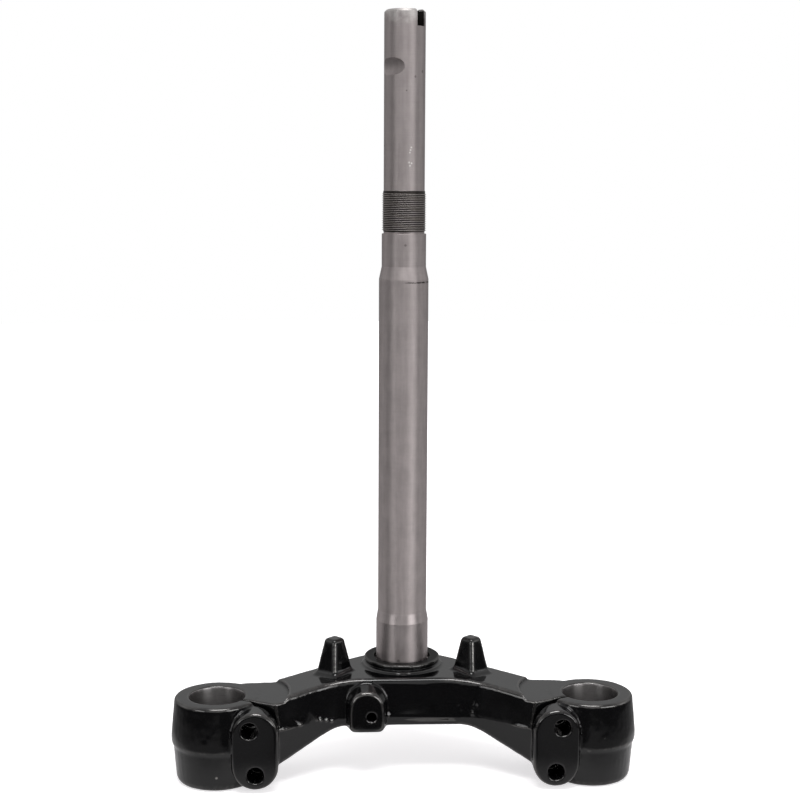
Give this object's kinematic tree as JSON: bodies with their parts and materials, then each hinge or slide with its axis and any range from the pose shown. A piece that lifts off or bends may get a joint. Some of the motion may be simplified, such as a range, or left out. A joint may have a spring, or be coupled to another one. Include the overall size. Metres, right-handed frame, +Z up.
{
  "type": "motorcycle triple clamp",
  "caption": "Lower fork bridge with a tall steering stem: a forged black arched arm with a split clamp at each end, steering stops and a bracket boss, on a bare turned steel tube.",
  "frame": {"origin": "on the steering axis, in the plane of the lower bearing race's seat", "axes": "+Z up the steering axis, -Y forward to the fork clamps, +X to the right as seen from the front"},
  "size_m": [0.2614, 0.0902, 0.4265],
  "materials": {
    "black_paint": "gloss black paint over a forged steel skin",
    "bare_steel": "fine turned bare steel",
    "weld_paint": "gloss black paint over a weld bead"
  },
  "bodies": {
    "root": {"lower_bracket": "black_paint", "steering_stem": "bare_steel", "weld_bead": "weld_paint"}
  },
  "joints": []
}
